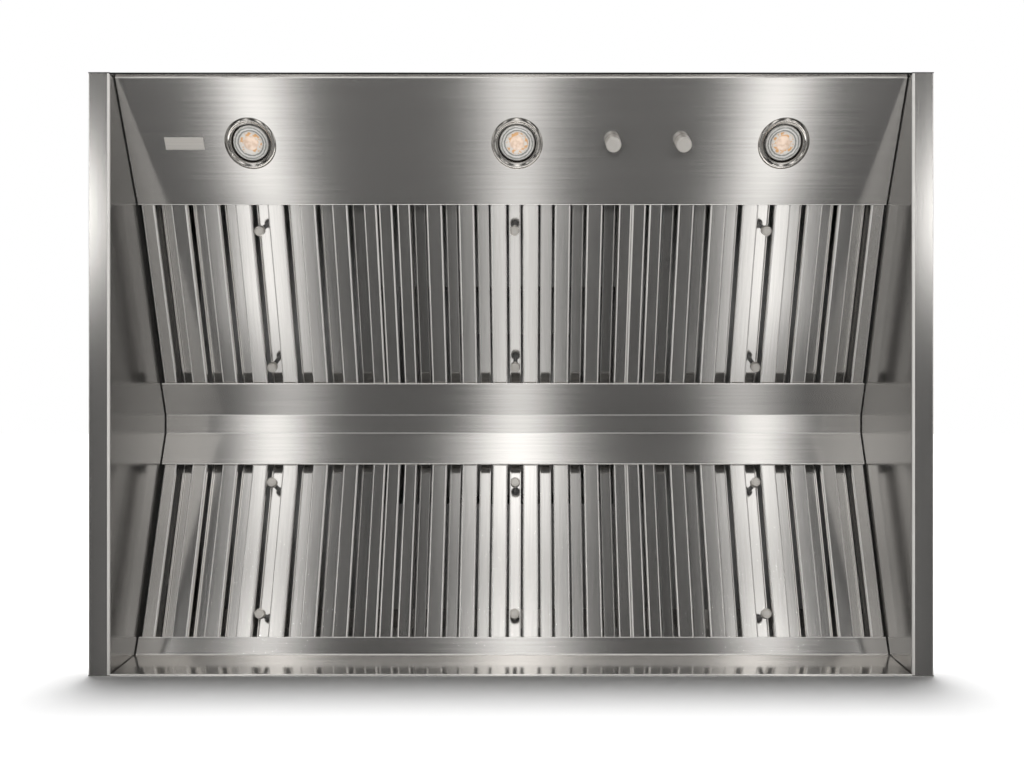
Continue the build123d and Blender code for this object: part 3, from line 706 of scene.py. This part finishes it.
def filter_frame(origin, slope, length, depth, width):
    """Two side rails and two end rails, each one folded strip, open towards the filter's middle."""
    face, back = [(rail_face, lip), (rail_face, 0.0), (0.0, 0.0)], [(0.0, depth), (rail_face, depth)]
    side = folded((face + back)[::-1], [rail_bend, rail_bend, lip_bend], filter_sheet)
    shapes = []
    for turn in (1, -1):
        outline = side * (turn, 1)
        start = origin - turn * x_axis * width / 2
        shapes.append(strip(outline, start, x_axis, slope.inward, slope.up * length))
    web = depth - filter_sheet
    end = folded([(end_face, web), (0.0, web), (0.0, filter_sheet), (end_face, filter_sheet)], lip_bend, filter_sheet)
    reach = width - 2 * (rail_face - lip)
    for turn, at in ((1, 0.0), (-1, length)):
        start = origin + slope.up * at - x_axis * reach / 2
        shapes.append(strip(end * (turn, 1), start, slope.up, slope.inward, x_axis * reach))
    return shapes


for row, slope in slopes.items():
    for place in ("left", "centre", "right"):
        name = f"{row}_{place}_filter"
        length, depth, origin = slope.measure(name + "_frame")
        low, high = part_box(name + "_frame")
        shapes = filter_frame(origin, slope, length, depth, high[0] - low[0])
        piece(name + "_rails", shapes, "filter", name, name + "_frame")
        outline = channel_outline(front_width, filter_sheet, front_leg, front_bend, baffle_sheet)
        shapes = baffle_row(name + "_front_baffles", origin, slope, length, outline, front_width, front_count)
        piece(name + "_front_channels", shapes, "filter", name, name + "_front_baffles")
        low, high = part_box(name + "_rear_baffles")
        front_low, front_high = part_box(name + "_front_baffles")
        pitch = (front_high[0] - front_low[0] - front_width) / (front_count - 1)
        rear_width = (high[0] - low[0]) - (rear_count - 1) * pitch
        outline = channel_outline(rear_width, depth - filter_sheet, -rear_leg, rear_bend, baffle_sheet)
        shapes = baffle_row(name + "_rear_baffles", origin, slope, length, outline, rear_width, rear_count)
        piece(name + "_rear_channels", shapes, "filter", name, name + "_rear_baffles")
print("filter depth", round(depth, 4), "rear width", round(rear_width, 4))

# %% Dividers
divider_width, divider_depth, divider_gap = 0.0185, 0.0120, 0.0004
outline = channel_outline(divider_width, 0.0, divider_depth, front_bend, sheet)
divider_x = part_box("filter_dividers")[1].x - divider_width / 2
shapes = []
for slope, low, high in ((slopes["front"], front_hem, front_top), (slopes["rear"], rear_hem, rear_top)):
    run = slope.up * (np.linalg.norm(high - low) + 2 * hem_back)
    start = np.append(0.0, low) - slope.up * hem_back + slope.inward * (2 * sheet + divider_gap)
    shapes += [strip(outline, start + x * x_axis, x_axis, slope.inward, run) for x in (-divider_x, divider_x)]
piece("divider_strips", shapes, "filter", "liner", "filter_dividers")

# %% [markdown]
# ## Pull knobs
# Two plain turned knobs stand on each filter's middle rear baffle. Each has a rounded edge, a shallow groove round
# its face and a slightly thinner stem.

# %% Pull knobs
pull_radius, pull_proud, pull_inset, head_length, stem_share = 0.00675, 0.011, 0.042, 0.009, 0.45


def pull_profile(foot):
    """From the middle of the face, over the rounded edge and down the stem to its foot."""
    face, stem = -pull_proud, pull_radius * stem_share
    return [
        (0.0, face + 0.0003), (0.0042, face + 0.0003), (0.0046, face + 0.0007), (0.0050, face + 0.0001),
        (0.0060, face), (0.0065, face + 0.0003), (pull_radius, face + 0.0009), (pull_radius, face + head_length),
        (stem, face + head_length + 0.001), (stem, foot), (0.0, foot),
    ]


for row, slope in slopes.items():
    for place in ("left", "centre", "right"):
        name = f"{row}_{place}_filter"
        length, depth, origin = slope.measure(name + "_frame")
        foot = depth - filter_sheet - baffle_sheet
        made = [
            revolved(pull_profile(foot), origin + slope.up * at, x_axis, slope.up, slope.inward, turns=40)
            for at in (pull_inset, length - pull_inset)
        ]
        shapes, spots = zip(*made)
        piece(name + "_pulls", shapes, "pull", name, name + "_knobs", spots)

# %% [markdown]
# ## Lamps
# A trim ring rests on the light panel: a rounded outer edge, a dished face and a rolled inner edge. Behind it sits
# the lamp, a little smaller than the ring, so that a dark gap shows between them.

# %% Lamps
ring_outside, ring_inside, ring_height = 0.0338, 0.0252, 0.003
lens_recess = 0.0022
ring_profile = [
    (ring_outside - 0.0003, 0.0), (ring_outside, -0.0003), (ring_outside - 0.0003, -0.0008),
    (ring_outside - 0.0010, -0.0016), (ring_outside - 0.0018, -0.0023), (ring_outside - 0.0027, -0.0028),
    (ring_outside - 0.0036, -ring_height), (ring_outside - 0.0044, -0.0028), (ring_outside - 0.0052, -0.0022),
    (ring_outside - 0.0060, -0.0014), (ring_outside - 0.0068, -0.0010), (ring_inside + 0.0010, -0.0011),
    (ring_inside + 0.0003, -0.0009), (ring_inside, -0.0003), (ring_inside, 0.0028), (ring_inside + 0.0008, 0.0028),
    (ring_inside + 0.0008, 0.0),
]
lens_profile = [
    (0.0, lens_recess - 0.0016), (0.004, lens_recess - 0.0014), (0.008, lens_recess - 0.0004),
    (0.0095, lens_recess + 0.0008), (0.0120, lens_recess + 0.0010), (0.0165, lens_recess + 0.0002),
    (0.0185, lens_recess - 0.0004), (0.0200, lens_recess - 0.0012), (0.0212, lens_recess - 0.0014),
    (0.0224, lens_recess - 0.0008), (lens_radius, lens_recess + 0.0008), (lens_radius, 0.010), (0.021, 0.016),
    (0.009, 0.046), (0.009, 0.054), (0.0, 0.054),
]
lamp_parts = (
    ("lamp_ring", ring_profile, True, "cast", "polished_steel", "lamp_rings"),
    ("lamp", lens_profile, False, "lamp", "lamp_glass", "lamp_bulbs"),
)
for place, centre in lamp_places.items():
    for part, profile, closed, finish, slot, node in lamp_parts:
        shape, spot = revolved(profile, centre, x_axis, panel.up, panel.inward, turns=96, closed=closed)
        replaced = node if place == "left" else None  # the CAD holds all three of a kind in one node
        piece(f"{part}_{place}", [shape], finish, "liner", replaced, [spot])

# %% [markdown]
# ## Control knobs
# Each is one turned piece with its spindle: a chamfered rim, a fine groove and a plain face.

# %% Control knobs
knob_radius, knob_length, knob_gap = 0.010, 0.018, 0.0008
knob_face = -(knob_gap + knob_length)
knob_profile = [
    (0.0, knob_face + 0.0003), (0.0078, knob_face + 0.0003), (0.0082, knob_face), (0.0090, knob_face),
    (knob_radius, knob_face + 0.0010), (knob_radius, -knob_gap - 0.0006), (knob_radius - 0.0006, -knob_gap),
    (0.003, -knob_gap), (0.003, 0.015), (0.0, 0.015),
]
for use, centre in knob_spot.items():
    shape, spot = revolved(knob_profile, centre, x_axis, panel.up, panel.inward, turns=64)
    piece(f"{use}_dial", [shape], "turned", f"{use}_knob", f"{use}_knob", [spot])

# %% [markdown]
# ## A blank plate
# A small bare plate sits left of the left lamp. It is a rectangle with softly bevelled edges.

# %% Plate
plate_x, plate_width, plate_height, plate_proud, plate_bevel = -0.4295, 0.0510, 0.0165, 0.0010, 0.0006


def bevelled_plate(centre, width, height, proud, bevel):
    """Three rings of a rectangle: on the sheet, at the bevel's foot and at its top, with the face closed."""
    corners = np.array([(-1, -1), (1, -1), (1, 1), (-1, 1)], float)
    rings = []
    for shrink, lift in ((0.0, 0.0), (0.0, proud - bevel), (bevel, proud)):
        flat = corners * (width / 2 - shrink, height / 2 - shrink)
        rings.append(centre + flat[:, :1] * x_axis + flat[:, 1:] * panel.up - lift * panel.inward)
    return np.concatenate(rings), list(quads(3, 4)) + [[8, 9, 10, 11], [3, 2, 1, 0]]


plate_centre = knob_spot["fan"] * (0, 1, 1) + panel.up * lamp_above_knobs + x_axis * plate_x
shape = bevelled_plate(plate_centre, plate_width, plate_height, plate_proud, plate_bevel)
piece("blank_plate", [shape], "plate", "liner")

# %% [markdown]
# ## Screws on the roof
# Hexagonal heads with a flange hold the blower box to the roof and the collar to the box. They are plain, because
# there are many of them.

# %% Screws
head_profile = [(0.0055, 0.0), (0.0055, 0.0008), (0.004, 0.0012), (0.004, 0.0042), (0.0034, 0.0048), (0.0, 0.0048)]
screw_inset = 0.009


def screw_places(low, high, count):
    """Places round a rectangle's edge, inset from it, with count along each side."""
    xs = np.linspace(low[0] + screw_inset, high[0] - screw_inset, count)
    ys = np.linspace(low[1] + screw_inset, high[1] - screw_inset, count)
    return [(x, y) for x in xs for y in ys if x in (xs[0], xs[-1]) or y in (ys[0], ys[-1])]


for name, node, count in (("blower_box_screws", "blower_box", 4), ("collar_screws", "duct_collar", 2)):
    low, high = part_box(node)
    shapes = [
        revolved(head_profile, np.array([x, y, low[2] + sheet]), x_axis, y_axis, z_axis, turns=6)[0]
        for x, y in screw_places(low, high, count)
    ]
    piece(name, shapes, "polished", "liner")

# %% [markdown]
# ## The studio
# The hood stands on its rear face, so the studio's floor is the plane that this face touches. The camera sees a
# white floor and a white world. The steel mirrors a curved screen that stands round the camera, and the camera
# looks through it. The screen is dim, with three soft bright stripes, a narrow bright patch beyond each end of them,
# and bright rims at the top and at the floor.

# %% Floor and world
floor_gap, floor_reach = 0.0005, 6.0
glow_full, glow_level = 0.08, 0.9  # past the rim the floor glows, fully from this height on
ambient, mirrored, seen = 0.12, 0.75, 1.0  # the world's level for diffuse rays, for mirrored ones, for the camera
floor_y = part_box("rear_wall")[1].y + floor_gap


def stage_mesh(name, points, faces):
    made = bpy.data.meshes.new(name)
    made.from_pydata([tuple(p) for p in points], [], [tuple(int(i) for i in f) for f in faces])
    made.update()
    thing = bpy.data.objects.new(name, made)
    bpy.context.scene.collection.objects.link(thing)
    return thing


floor_corners = [(x * floor_reach, floor_y, z * floor_reach) for x, z in ((-1, -1), (1, -1), (1, 1), (-1, 1))]
floor = stage_mesh("floor", floor_corners, [(0, 1, 2, 3)])
floor_look = Look("floor_white", Roughness=0.9, Specular_IOR_Level=0.0)
ray = floor_look.node("LightPath")
behind = floor_look.node("SeparateXYZ", None, floor_look.node("TexCoord")["Object"])["Z"].between(0.0, glow_full)
floor_look.set(
    floor_look.shader,
    {
        "Base Color": (0.9, 0.9, 0.9, 1.0),
        "Emission Color": (1.0, 1.0, 1.0, 1.0),
        "Emission Strength": behind * ray["Is Camera Ray"] * glow_level,
    },
)
clear = floor_look.node("BsdfTransparent")["BSDF"]
open_side = floor_look.node("NewGeometry")["Backfacing"].math("MAXIMUM", ray["Is Glossy Ray"])
white = Value(floor_look, floor_look.shader.outputs[0])
both = floor_look.node("MixShader", None, open_side, white, clear)["Shader"]
floor.data.materials.append(floor_look.wears(both))

world = bpy.data.worlds.new("studio")
world.use_nodes = True
bpy.context.scene.world = world
world_nodes, world_links = world.node_tree.nodes, world.node_tree.links
world_ray = world_nodes.new("ShaderNodeLightPath")
colour = None
for ray_kind, low, high in (("Is Glossy Ray", ambient, mirrored), ("Is Camera Ray", None, seen)):
    choice = world_nodes.new("ShaderNodeMixRGB")
    choice.inputs["Color2"].default_value = (high, high, high, 1.0)
    world_links.new(world_ray.outputs[ray_kind], choice.inputs["Fac"])
    if colour:
        world_links.new(colour, choice.inputs["Color1"])
    else:
        choice.inputs["Color1"].default_value = (low, low, low, 1.0)
    colour = choice.outputs["Color"]
world_links.new(colour, world_nodes["Background"].inputs["Color"])
bpy.context.scene.view_settings.view_transform = "Standard"

# %% Screen
screen_radius, screen_half_width = 1.35, 2.6
screen_axis = (0.0, 0.10)
stripe_xs, stripe_width, stripe_level = (-0.72, -0.01, 0.69), 0.1, 1.9
widening, fading = 0.045, 0.4  # how the middle stripe grows wider upwards, and fainter towards the floor
bending = 0.06  # how far the outer stripes lean inwards near the floor
patch_xs, patch_width, patch_y, patch_height, patch_level = (-1.13, 1.09), 0.05, -0.46, 0.2, 10.0
dip_y, dip_height, dip = -0.49, 0.16, 0.3  # where the stripes are a little dimmer
rim_level = 4.0
screen_angles = np.radians(np.linspace(-100, 80, 61))  # from straight down, towards +Y
ring_points = np.stack([np.sin(screen_angles), -np.cos(screen_angles)], axis=1) * screen_radius + screen_axis
left_edge = np.insert(ring_points, 0, -screen_half_width, axis=1)
right_edge = np.insert(ring_points, 0, screen_half_width, axis=1)
count = len(ring_points)
screen_faces = [(i, i + 1, count + i + 1, count + i) for i in range(count - 1)]
screen = stage_mesh("screen", np.concatenate([left_edge, right_edge]), screen_faces)
screen.visible_camera = False
screen.visible_diffuse = False
screen.visible_shadow = False

screen_look = Look("screen_light", Roughness=1.0)
where = screen_look.node("SeparateXYZ", None, screen_look.node("TexCoord")["Object"])
x, y = where["X"], where["Y"]
side = (y / screen_radius).between(-0.6, 0.6)  # 0 at the top, 1 at the floor


def bell(value, middle, spread):
    """exp(-((value - middle) / spread)^2)"""
    offset = (value - middle) / spread
    return (offset * offset * -1.0).math("EXPONENT")


left_x, middle_x, right_x = stripe_xs
far = (y / screen_radius).between(0.5, 0.72)  # 1 where only the channel's front slope looks
middle_stripe = bell(x, middle_x, side * -widening + stripe_width + widening) * (side * -fading + 1.0)
outer_stripes = bell(x, far * bending + left_x, stripe_width) + bell(x, far * -bending + right_x, stripe_width)
stripes = (outer_stripes * (far * -0.5 + 0.88) + middle_stripe) * (bell(y, dip_y, dip_height) * -dip + 1.0)
patches = (bell(x, patch_xs[0], patch_width) + bell(x, patch_xs[1], patch_width)) * bell(y, patch_y, patch_height)
rims = (y / screen_radius).math("ABSOLUTE").between(0.9, 0.96)  # only bends look here: they become bright lines
level = side * -0.01 + 0.03 + stripes * stripe_level + patches * patch_level + rims * rim_level
glow = screen_look.node("Emission", None, Strength=level)["Emission"]
screen.data.materials.append(screen_look.wears(glow))


# %% Lights
shadowless = bpy.data.collections.new("all_but_the_floor")
shadowless.objects.link(floor)
shadowless.collection_objects[0].light_linking.link_state = "EXCLUDE"


def aimed(data, place, aim):
    """A lamp at a place, turned towards a point, that neither the camera nor the steel sees."""
    lamp = bpy.data.objects.new(data.name, data)
    lamp.location = place
    lamp.rotation_euler = (Vector(aim) - Vector(place)).to_track_quat("-Z", "Y").to_euler()
    lamp.visible_camera = False
    lamp.visible_glossy = False
    bpy.context.scene.collection.objects.link(lamp)
    return lamp


def area_light(name, place, aim, size, power):
    """A soft box of a width and a height, which leaves the floor alone."""
    data = bpy.data.lights.new(name, "AREA")
    data.shape = "RECTANGLE"
    data.size, data.size_y = size
    data.energy = power
    aimed(data, place, aim).light_linking.receiver_collection = shadowless


top_power, top_angle = 3.3, 0.225
key_size, key_power = (0.12, 0.3), 6.5
fill_size, fill_power = (1.0, 1.0), 60.0
fill_places = {"left_light": (-3.0, -0.6, 0.8), "right_light": (3.0, -0.6, 0.8), "back_light": (0.0, -0.6, 3.2)}

top_data = bpy.data.lights.new("top_light", "SUN")
top_data.energy, top_data.angle = top_power, top_angle
aimed(top_data, (0.0, -2.2, 0.45), (0.0, 0.0, 0.2025))
for stripe_x in stripe_xs:
    area_light("key_light", (stripe_x, -0.45, -1.25), (stripe_x / 2, 0.0, 0.1), key_size, key_power)
for name, place in fill_places.items():
    area_light(name, place, (0.0, 0.0, 0.2), fill_size, fill_power)
